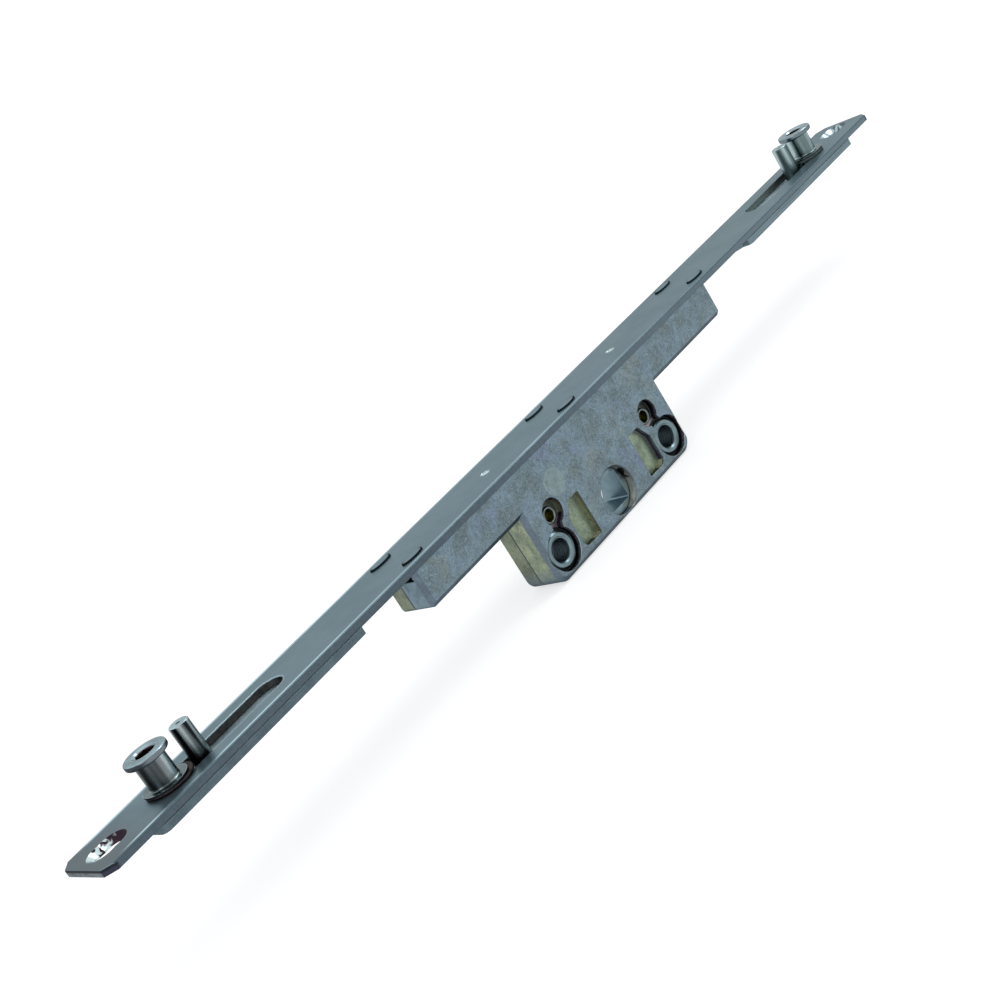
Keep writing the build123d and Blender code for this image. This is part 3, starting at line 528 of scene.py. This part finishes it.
def on_lathe(tree, place, middle, axis, width):
    """Where a point of a turned piece lies from its middle, its distance from the axis, and lathe lines."""
    centred = put(tree, "ShaderNodeMapping", {"Vector": place, "Location": (-middle, 0, 0)})
    where = split(tree, centred.outputs[0])
    radius = reach_of(tree, where[0], where[3 - axis])
    rings = put(tree, "ShaderNodeCombineXYZ", {1: radius, 2: where[axis]})
    lines = use_group(tree, drawing, {"Vector": rings.outputs[0], "Width": width, "Length": 1.0})["Lines"]
    return where, radius, lines


def make_object(name, data):
    """Adds an object with this mesh, lamp or camera to the scene."""
    made = bpy.data.objects.new(name, data)
    bpy.context.scene.collection.objects.link(made)
    return made


def turned(name, profile, segments):
    """Turns a closed profile of (radius, height) about the Z axis, with its hard edges kept sharp."""
    hard_edge = math.radians(32)
    mesh = bpy.data.meshes.new(name)
    made = bmesh.new()
    rings = []
    for step in range(segments):
        angle = 2 * math.pi * step / segments
        rings.append([made.verts.new((r * math.cos(angle), r * math.sin(angle), h)) for r, h in profile])
    for step in range(segments):
        ring, after = rings[step], rings[(step + 1) % segments]
        for k in range(len(profile)):
            n = (k + 1) % len(profile)
            made.faces.new((ring[k], after[k], after[n], ring[n]))
    bmesh.ops.recalc_face_normals(made, faces=made.faces)
    for face in made.faces:
        face.smooth = True
    for line in made.edges:
        line.smooth = line.calc_face_angle(0.0) < hard_edge
    made.to_mesh(mesh)
    made.free()
    return make_object(name, mesh)


def start_tree(name, inputs):
    """Starts a Geometry Nodes tree that takes a mesh and named sizes, and gives a mesh."""
    tree = bpy.data.node_groups.new(name, "GeometryNodeTree")
    tree.interface.new_socket(name="Geometry", in_out="INPUT", socket_type="NodeSocketGeometry")
    for label, kind in inputs.items():
        tree.interface.new_socket(name=label, in_out="INPUT", socket_type="NodeSocket" + kind)
    tree.interface.new_socket(name="Geometry", in_out="OUTPUT", socket_type="NodeSocketGeometry")
    return tree, tree.nodes.new("NodeGroupInput").outputs, tree.nodes.new("NodeGroupOutput").inputs


def end_tree(tree, geometry, metal, leave):
    """Ends a Geometry Nodes tree in real meshes of one metal."""
    real = put(tree, "GeometryNodeRealizeInstances", {0: geometry})
    finished = put(tree, "GeometryNodeSetMaterial", {"Geometry": real.outputs[0], "Material": metal})
    tree.links.new(finished.outputs[0], leave["Geometry"])


def grow(part, tree, values):
    """Runs a Geometry Nodes tree on a part with these sizes, and keeps the result as its plain mesh."""
    modifier = part.modifiers.new("grow", "NODES")
    modifier.node_group = tree
    for item in tree.interface.items_tree:
        if item.in_out == "INPUT" and item.name in values:
            modifier[item.identifier] = values[item.name]
    bpy.context.view_layer.update()
    result = bpy.data.meshes.new_from_object(part.evaluated_get(bpy.context.evaluated_depsgraph_get()))
    part.modifiers.remove(modifier)
    part.data = result


def set_down(part, matrix):
    """Moves a part's mesh, so that its object stays at the origin."""
    part.data.transform(matrix)
    part.data.update()


bush_low, bush_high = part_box("near_handle_bush")
bush_radius = (bush_high.x - bush_low.x) / 2
bush_half = bush_high.y
bush_segments = 72
thread_outer = 0.0025
thread_inner = 0.0021
thread_pitch = 0.0008
thread_steps = 40
root_share = 0.46
mouth = 0.0004
to_side = Matrix.Rotation(math.radians(90), 4, "X")

threading, entry, leave = start_tree("screw_thread", {
    "Radius": "Float", "Depth": "Float", "Pitch": "Float", "Length": "Float", "Metal": "Material"})
turns = maths(threading, "DIVIDE", entry["Length"], entry["Pitch"])
helix = put(threading, "GeometryNodeCurveSpiral", {
    "Resolution": thread_steps, "Rotations": turns, "Start Radius": entry["Radius"],
    "End Radius": entry["Radius"], "Height": entry["Length"]})
level = put(threading, "GeometryNodeSetCurveNormal", {"Curve": helix.outputs[0]}, mode="Z_UP")
half = maths(threading, "MULTIPLY", entry["Pitch"], root_share)
crest = put(threading, "ShaderNodeCombineXYZ", {0: entry["Depth"]}).outputs[0]
low_root = put(threading, "ShaderNodeCombineXYZ", {1: half}).outputs[0]
high_root = put(threading, "ShaderNodeVectorMath", {0: low_root, "Scale": -1.0}, operation="SCALE")
flank_one = put(threading, "GeometryNodeCurvePrimitiveLine", {"Start": low_root, "End": crest})
flank_two = put(threading, "GeometryNodeCurvePrimitiveLine", {"Start": crest, "End": high_root.outputs[0]})
both_flanks = put(threading, "GeometryNodeJoinGeometry")
for part in (flank_two, flank_one):
    threading.links.new(part.outputs[0], both_flanks.inputs[0])
ridge = put(threading, "GeometryNodeCurveToMesh", {
    "Curve": level.outputs[0], "Profile Curve": both_flanks.outputs[0]})
half_way = put(threading, "ShaderNodeCombineXYZ", {2: maths(threading, "MULTIPLY", entry["Length"], -0.5)})
lowered = put(threading, "GeometryNodeTransform", {
    "Geometry": ridge.outputs[0], "Translation": half_way.outputs[0]})
joined = put(threading, "GeometryNodeJoinGeometry")
threading.links.new(lowered.outputs[0], joined.inputs[0])
threading.links.new(entry["Geometry"], joined.inputs[0])
end_tree(threading, joined.outputs[0], entry["Metal"], leave)

for where_to, end in (("near", -1), ("far", 1)):
    bush_metal, tree, place, _ = start_metal(where_to + "_bush_metal", 0.3)
    where, radius, lines = on_lathe(tree, place, end * bush_place, axis=1, width=0.00012)
    clouds = use_group(tree, clouding, {"Vector": place, "Patch": 0.003})
    worn_and_highlit = use_group(tree, rubbing_and_highlights, {"Width": 0.0002, "Breakup": 0.2})["Mask"]
    tint = coat(tree, shade(128, 150, 156), shade(104, 124, 130), clouds["Clouds"])
    tint = coat(tree, tint, shade(84, 100, 106), lines, 0.3)
    # Painted highlights on the corners
    tint = coat(tree, tint, shade(176, 192, 196), worn_and_highlit, 0.4)
    # The thread: painted highlights on the crests, grey roots, and painted shade further in
    in_bore = step_up(tree, radius, thread_outer + mouth * 0.4, thread_outer + mouth * 0.1)
    crests = step_up(tree, radius, thread_outer - 0.00002, thread_inner + 0.00012)
    further_in = step_up(tree, maths(tree, "ABSOLUTE", where[1]), bush_half - 0.0018, bush_half - 0.0050)
    thread_tint = coat(tree, shade(78, 94, 100), shade(255, 255, 255), crests)
    thread_tint = coat(tree, thread_tint, shade(16, 22, 26), further_in, 0.7)
    tint = coat(tree, tint, thread_tint, in_bore)
    rough = maths(tree, "ADD", 0.28, both(tree, clouds["Specks"], 0.1))
    finish_metal(tree, tint, rough, lines, depth=0.000005, corner=0.0002)
    outline = [(thread_outer, -bush_half + mouth), (thread_outer + mouth, -bush_half),
               (bush_radius - mouth, -bush_half), (bush_radius, -bush_half + mouth),
               (bush_radius, bush_half - mouth), (bush_radius - mouth, bush_half),
               (thread_outer + mouth, bush_half), (thread_outer, bush_half - mouth)]
    bush = turned(where_to + "_threaded_bush", outline, bush_segments)
    grow(bush, threading, {
        "Radius": thread_outer, "Depth": thread_inner - thread_outer, "Pitch": thread_pitch,
        "Length": 2 * bush_half - thread_pitch, "Metal": bush_metal})
    set_down(bush, Matrix.Translation((end * bush_place, 0, 0)) @ to_side)
    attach(bush, "gearbox")
    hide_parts(where_to + "_handle_bush")

# Case rivets: two hollow steel rivets through both case halves, with their ends rolled
# over in the recesses above the bushes. Oil has dried brown inside them.
rivet_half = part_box("case_rivets")[1].y
rivet_bore = 0.00125
rivet_shank = 0.0017
rivet_rim = 0.00195
rivet_segments = 48
roll_height = 0.0005
roll_steps = 8
roll_middle = (rivet_bore + rivet_rim) / 2
roll_reach = (rivet_rim - rivet_bore) / 2

rivet_metal, tree, place, _ = start_metal("rivet_metal", 0.32)
where = split(tree, place)
clouds = use_group(tree, clouding, {"Vector": place, "Patch": 0.002})
radius = reach_of(tree, from_middle(tree, maths(tree, "ABSOLUTE", where[0]), rivet_place),
                  maths(tree, "SUBTRACT", where[2], rivet_height))
dried_oil = coat(tree, shade(140, 140, 84), shade(104, 102, 60), clouds["Specks"])
tint = coat(tree, shade(124, 134, 134), shade(98, 108, 108), clouds["Clouds"])
tint = coat(tree, tint, dried_oil, step_up(tree, radius, rivet_bore + 0.00012, rivet_bore))
# A painted shadow round the outer foot of the rolled rim
tint = coat(tree, tint, shade(26, 26, 26), step_up(tree, radius, rivet_rim - 0.00016, rivet_rim - 0.00004))
rough = maths(tree, "ADD", 0.26, both(tree, clouds["Specks"], 0.14))
finish_metal(tree, tint, rough, clouds["Specks"], depth=0.00001, corner=0.0001)

roll = []
for step in range(roll_steps + 1):
    angle = math.pi * step / roll_steps
    roll.append((roll_middle - roll_reach * math.cos(angle),
                 rivet_half - roll_height + roll_height * math.sin(angle)))
profile = roll + [(rivet_shank, rivet_half - roll_height)]
profile += [(r, -h) for r, h in reversed(profile)]
eyelet = turned("rolled_rivet", profile, rivet_segments)
set_down(eyelet, to_side)

riveting, entry, leave = start_tree("pieces_at_points", {"Piece": "Object", "Metal": "Material"})
source = put(riveting, "GeometryNodeObjectInfo", {"Object": entry["Piece"]})
placed = put(riveting, "GeometryNodeInstanceOnPoints", {
    "Points": entry["Geometry"], "Instance": source.outputs["Geometry"]})
end_tree(riveting, placed.outputs[0], entry["Metal"], leave)

points = bpy.data.meshes.new("rolled_case_rivets")
points.from_pydata([(end * rivet_place, 0, rivet_height) for end in (-1, 1)], [], [])
rivets = make_object("rolled_case_rivets", points)
grow(rivets, riveting, {"Piece": eyelet, "Metal": rivet_metal})
bpy.data.objects.remove(eyelet)
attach(rivets, "gearbox")
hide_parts("case_rivets")

# Round mark: a plain low disc on the handle side of the case, left by the die, with a
# softly raised rim.
mark_place = (-0.0144, -case_face, 0.012)
mark_radius = 0.0030
mark_rise = 0.00008
mark_root = -0.00005
mark_middle = 0.00001
mark_segments = 96
mark_metal, tree, place, _ = start_metal("die_mark_metal", 0.4, 0.9)
skin = use_group(tree, casting, {"Vector": place, "Patch": cast_patch})
tint = coat(tree, shade(130, 150, 154), shade(120, 134, 134), skin["Patches"])
tint = coat(tree, tint, shade(96, 108, 110), skin["Web"], 0.35)
worn_and_highlit = use_group(tree, rubbing_and_highlights, {"Width": 0.0002, "Breakup": both(tree, skin["Grain"], 0.5)})["Mask"]
# Painted highlights on the corners of the rim
tint = coat(tree, tint, shade(184, 206, 214), worn_and_highlit, 0.75)
rough = maths(tree, "ADD", 0.36, both(tree, skin["Patches"], 0.12))
finish_metal(tree, tint, rough, skin["Height"], depth=0.00002, corner=0.0001)
disc_outline = [(mark_middle, mark_rise / 2), (mark_radius - 0.0005, mark_rise / 2),
                (mark_radius - 0.0003, mark_rise), (mark_radius - 0.0001, mark_rise),
                (mark_radius, mark_root), (mark_middle, mark_root)]
mark = turned("plain_die_mark", disc_outline, mark_segments)
set_down(mark, Matrix.Translation(mark_place) @ to_side)
mark.data.materials.append(mark_metal)
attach(mark, "gearbox")

# Drive bars: strip steel, blanked and zinc plated, that slide in the narrow space under
# the faceplate and carry the cams and guide pins. Their top, seen through the slots, is
# painted pale where light falls on it, and the far bar is painted paler all over, as more lit.
bar_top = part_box("near_drive_bar")[1].z
bar_metal, tree, place, normal = start_metal("plated_bar", 0.4)
where = split(tree, place)
facing = split(tree, normal)
clouds = use_group(tree, clouding, {"Vector": place, "Patch": 0.007})
lines = use_group(tree, drawing, {"Vector": place, "Width": 0.0003, "Length": 0.014})["Lines"]
tint = coat(tree, shade(98, 116, 124), shade(78, 93, 101), clouds["Clouds"])
# The far bar painted paler, as more lit
tint = coat(tree, tint, shade(128, 148, 156), step_up(tree, where[0], 0.0, 0.10), 0.8)
tint = coat(tree, tint, shade(64, 74, 80), lines, 0.45)
tint = coat(tree, tint, shade(120, 136, 142), clouds["Specks"], 0.3)
# The top painted pale where light falls on it
on_top = both(tree, step_up(tree, facing[2], 0.5, 0.8),
              step_up(tree, where[2], bar_top - 0.0004, bar_top - 0.0002))
lit_top = coat(tree, shade(186, 206, 214), shade(150, 168, 176), clouds["Clouds"])
tint = coat(tree, tint, lit_top, on_top, 0.75)
worn_and_highlit = use_group(tree, rubbing_and_highlights, {"Width": 0.0003, "Breakup": both(tree, clouds["Specks"], 0.6)})["Mask"]
# Painted highlights on the corners
tint = coat(tree, tint, shade(146, 164, 170), worn_and_highlit, 0.1)
rough = maths(tree, "ADD", 0.34, both(tree, clouds["Specks"], 0.16))
rough = maths(tree, "ADD", rough, both(tree, on_top, 0.2))
finish_metal(tree, tint, rough, maths(tree, "ADD", lines, clouds["Specks"]), depth=0.000008, corner=0.0002)
wear(bar_metal, "near_drive_bar", "far_drive_bar")

# Mushroom cams, slide washers and guide pins: turned steel. The cams are nickel plated
# with a hexagon socket for setting them, the pins have a lathe centre on top, and the
# washers are blackened. Their colours carry painted reflections, highlights and shade,
# paler and greyer on the far ones than on the near ones.
cam_place = 0.1192
cam_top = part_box("near_cam")[1].z
cam_head_low = cam_top - 0.00125
cam_head_reach = 0.0043
cam_flange_top = 0.02295
socket_reach = 0.0022
pin_place = 0.111
centre_reach = 0.0005

washer_metal, tree, place, _ = start_metal("black_washer", 0.45)
where = split(tree, place)
clouds = use_group(tree, clouding, {"Vector": place, "Patch": 0.002})
worn_and_highlit = use_group(tree, rubbing_and_highlights, {"Width": 0.00015, "Breakup": both(tree, clouds["Specks"], 0.6)})["Mask"]
tint = coat(tree, shade(78, 68, 68), shade(48, 40, 42), clouds["Clouds"])
# A painted shadow round the foot of each washer
foot = step_up(tree, where[2], plate_top + 0.00032, plate_top + 0.00024)
tint = coat(tree, tint, shade(10, 9, 11), foot)
# The far washer painted greyer and paler, as more lit
tint = coat(tree, tint, shade(92, 104, 104), maths(tree, "GREATER_THAN", where[0], 0.0), 0.9)
# Painted highlights on the corners
tint = coat(tree, tint, shade(110, 112, 116), worn_and_highlit, 0.12)
rough = maths(tree, "ADD", 0.38, both(tree, clouds["Specks"], 0.2))
finish_metal(tree, tint, rough, clouds["Specks"], depth=0.00001, corner=0.00012)
wear(washer_metal, "near_cam_washer", "far_cam_washer")


def reflection_streaks(tree, where, width, length, fineness):
    """Painted reflections that run down an upright piece, dark and light by turns."""
    down = put(tree, "ShaderNodeCombineXYZ", {0: where[2], 1: where[0], 2: where[1]})
    return use_group(tree, drawing, {"Vector": down.outputs[0], "Width": width, "Length": length,
                                     "Fineness": fineness})["Lines"]


# The near and far metals are lit and shaded copies, with paler painted reflections and shade on the far ones
for where_to, end, neck_reflection_dark, neck_reflection_pale, side_shade in (
        ("near", -1, shade(22, 24, 28), shade(166, 178, 180), shade(34, 26, 40)),
        ("far", 1, shade(86, 102, 104), shade(170, 190, 192), shade(104, 118, 122))):
    cam_metal, tree, place, normal = start_metal(where_to + "_cam_metal", 0.2)
    where, radius, lines = on_lathe(tree, place, end * cam_place, axis=2, width=0.00014)
    facing = split(tree, normal)
    clouds = use_group(tree, clouding, {"Vector": place, "Patch": 0.004})
    upright = step_up(tree, maths(tree, "ABSOLUTE", facing[2]), 0.75, 0.35)
    at_left = step_up(tree, facing[0], -0.35, -0.8)
    # The neck in painted reflections, dark and pale by turns
    reflection_bands = reflection_streaks(tree, where, width=0.0021, length=0.05, fineness=0.6)
    neck = coat(tree, neck_reflection_dark, neck_reflection_pale, step_up(tree, reflection_bands, -0.12, 0.9))
    neck = coat(tree, neck, shade(24, 24, 26), lines, 0.12)
    # The head, pale on top, with painted shade on its side, darkest at its left, and on its underside
    head = coat(tree, shade(172, 198, 208), shade(136, 160, 168), clouds["Clouds"])
    head = coat(tree, head, shade(92, 102, 108), lines, 0.15)
    head = coat(tree, head, coat(tree, shade(104, 110, 114), side_shade, at_left), upright, 0.9)
    head = coat(tree, head, side_shade, step_up(tree, facing[2], -0.5, -0.8))
    on_head = step_up(tree, where[2], cam_head_low - 0.0002, cam_head_low + 0.0001)
    # The flange, with painted shade on its rim
    flange = coat(tree, shade(128, 146, 152), shade(104, 120, 124), clouds["Clouds"])
    flange = coat(tree, flange, coat(tree, side_shade, shade(30, 26, 28), 0.3), upright, 0.9)
    on_flange = step_up(tree, where[2], cam_flange_top + 0.00015, cam_flange_top + 0.00003)
    tint = coat(tree, coat(tree, neck, head, on_head), flange, on_flange)
    # Painted highlights on the corners of the head and round the flange, but none at the shaded left of the
    # head's side
    worn_and_highlit = use_group(tree, rubbing_and_highlights, {"Width": 0.0003, "Breakup": 0.15})["Mask"]
    upper = step_up(tree, where[2], cam_top - 0.0009, cam_top - 0.0006)
    on_rim = step_up(tree, radius, cam_head_reach - 0.0005, cam_head_reach - 0.0003)
    low_rim = both(tree, on_flange, outside(tree, upright), on_rim)
    kept_dull = outside(tree, both(tree, upright, at_left, 0.85))
    bright = maths(tree, "ADD", 0.08, maths(tree, "ADD", both(tree, upper, 0.75), both(tree, low_rim, 0.7)))
    tint = coat(tree, tint, shade(200, 226, 234), worn_and_highlit, kept_dull, bright)
    # The socket, in painted shade, with a painted highlight on the walls that face the far end
    in_socket = both(tree, step_up(tree, radius, socket_reach + 0.00012, socket_reach - 0.0001),
                     step_up(tree, where[2], cam_top - 0.0002, cam_top - 0.0004))
    socket = coat(tree, shade(64, 38, 42), shade(20, 14, 18), clouds["Clouds"])
    socket = coat(tree, socket, shade(220, 236, 238), step_up(tree, facing[0], 0.2, 0.8))
    tint = coat(tree, tint, socket, in_socket)
    # Painted shade in the hollows
    dirt_and_shade = use_group(tree, soiling_and_shading, {"Reach": 0.0005, "Clean": 0.7, "Black": 0.35})["Mask"]
    tint = coat(tree, tint, shade(26, 22, 26), dirt_and_shade, 0.5)
    rough = maths(tree, "ADD", 0.17, both(tree, clouds["Specks"], 0.1))
    finish_metal(tree, tint, rough, lines, depth=0.000005, corner=0.0001)
    wear(cam_metal, where_to + "_cam")

    pin_metal, tree, place, normal = start_metal(where_to + "_pin_metal", 0.28)
    where, radius, lines = on_lathe(tree, place, end * pin_place, axis=2, width=0.00014)
    facing = split(tree, normal)
    clouds = use_group(tree, clouding, {"Vector": place, "Patch": 0.004})
    # The shank in painted reflections, dark and pale by turns, with painted shade round its base
    reflection_bands = reflection_streaks(tree, where, width=0.0015, length=0.03, fineness=0.8)
    shank_shade = coat(tree, shade(42, 52, 56), neck_reflection_dark, 0.8)
    tint = coat(tree, shank_shade, neck_reflection_pale, step_up(tree, reflection_bands, 0.1, 0.9))
    at_base = step_up(tree, where[2], plate_top + 0.0024, plate_top + 0.0008)
    tint = coat(tree, tint, neck_reflection_dark, at_base, step_up(tree, clouds["Clouds"], 0.0, 0.5), 0.85)
    # The top painted pale where light falls on it
    on_top = step_up(tree, facing[2], 0.5, 0.85)
    tint = coat(tree, tint, coat(tree, shade(196, 222, 228), shade(158, 180, 186), clouds["Clouds"]), on_top)
    # Painted highlights on the corners
    worn_and_highlit = use_group(tree, rubbing_and_highlights, {"Width": 0.0003, "Breakup": 0.2})["Mask"]
    tint = coat(tree, tint, shade(200, 222, 228), worn_and_highlit, 0.85)
    in_centre = step_up(tree, radius, centre_reach + 0.00005, centre_reach - 0.0001)
    tint = coat(tree, tint, shade(62, 70, 74), on_top, in_centre)
    rough = maths(tree, "ADD", 0.24, both(tree, clouds["Specks"], 0.12))
    finish_metal(tree, tint, rough, lines, depth=0.000006, corner=0.0002)
    wear(pin_metal, where_to + "_guide_pin")

# Studio: a plain pale floor under the gearbox, two soft lamps, the stronger above the far
# end and the weaker at the near end, and the camera where the photograph was taken from.


def seen_itself(tree):
    """1 for what the camera sees straight, in a gloss or through glass, and 0 for light on the object."""
    path = put(tree, "ShaderNodeLightPath").outputs
    return maths(tree, "MAXIMUM", path["Is Camera Ray"], maths(
        tree, "MAXIMUM", path["Is Glossy Ray"], path["Is Transmission Ray"]))


def soft_box(name, place, size, power):
    """A square area lamp that points from its place at the middle of the object."""
    lamp = bpy.data.lights.new(name, "AREA")
    lamp.size = size
    lamp.energy = power
    holder = make_object(name, lamp)
    holder.location = place
    holder.rotation_euler = (-Vector(place)).to_track_quat("-Z", "Y").to_euler()


floor_reach = 6.0
floor_gap = 0.0001
floor_grey = (0.5, 0.5, 0.5, 1.0)
floor_glow = 0.64
sky = (0.96, 0.98, 1.0, 1.0)
sky_strength = 0.75
white = (1.0, 1.0, 1.0, 1.0)

floor_mesh = bpy.data.meshes.new("studio_floor")
floor_level = case_low.z - floor_gap
floor_mesh.from_pydata([(x * floor_reach, y * floor_reach, floor_level) for x, y in
                        ((-1, -1), (1, -1), (1, 1), (-1, 1))], [], [(0, 1, 2, 3)])
floor = make_object("studio_floor", floor_mesh)
floor_paint = bpy.data.materials.new("studio_floor")
floor_paint.use_nodes = True
tree = floor_paint.node_tree
tree.nodes.clear()
matt = put(tree, "ShaderNodeBsdfDiffuse", {"Color": floor_grey})
glow = put(tree, "ShaderNodeEmission", {
    "Color": white, "Strength": both(tree, seen_itself(tree), floor_glow)})
laid = put(tree, "ShaderNodeAddShader", {0: matt.outputs[0], 1: glow.outputs[0]})
put(tree, "ShaderNodeOutputMaterial", {"Surface": laid.outputs[0]})
floor_mesh.materials.append(floor_paint)

world = bpy.data.worlds.new("studio")
bpy.context.scene.world = world
world.use_nodes = True
tree = world.node_tree
tree.nodes.clear()
lit = put(tree, "ShaderNodeBackground", {"Color": sky, "Strength": sky_strength})
seen = put(tree, "ShaderNodeBackground", {"Color": white, "Strength": 1.0})
mix = put(tree, "ShaderNodeMixShader", {0: seen_itself(tree), 1: lit.outputs[0], 2: seen.outputs[0]})
put(tree, "ShaderNodeOutputWorld", {"Surface": mix.outputs[0]})

soft_box("front_light", (0.54, -0.25, 0.67), size=0.35, power=1.8)
soft_box("end_light", (-0.75, -0.25, 0.45), size=0.4, power=1.0)

camera_place = Vector((-0.24021, -0.26355, 0.11590))
look_along = Vector((0.60728, 0.74253, -0.28259))
image_right = Vector((0.55891, -0.65207, -0.51228))
film_width_mm = 36.0
focal_length_mm = 63.0
nearest_seen = 0.01
camera_data = bpy.data.cameras.new("camera")
camera_data.sensor_width = film_width_mm
camera_data.lens = focal_length_mm
camera_data.clip_start = nearest_seen
camera = make_object("camera", camera_data)
back = -look_along.normalized()
right = (image_right - image_right.dot(back) * back).normalized()
turn = Matrix((right, back.cross(right), back)).transposed()
camera.matrix_world = Matrix.Translation(camera_place) @ turn.to_4x4()
bpy.context.scene.camera = camera
bpy.context.scene.view_settings.view_transform = "Standard"
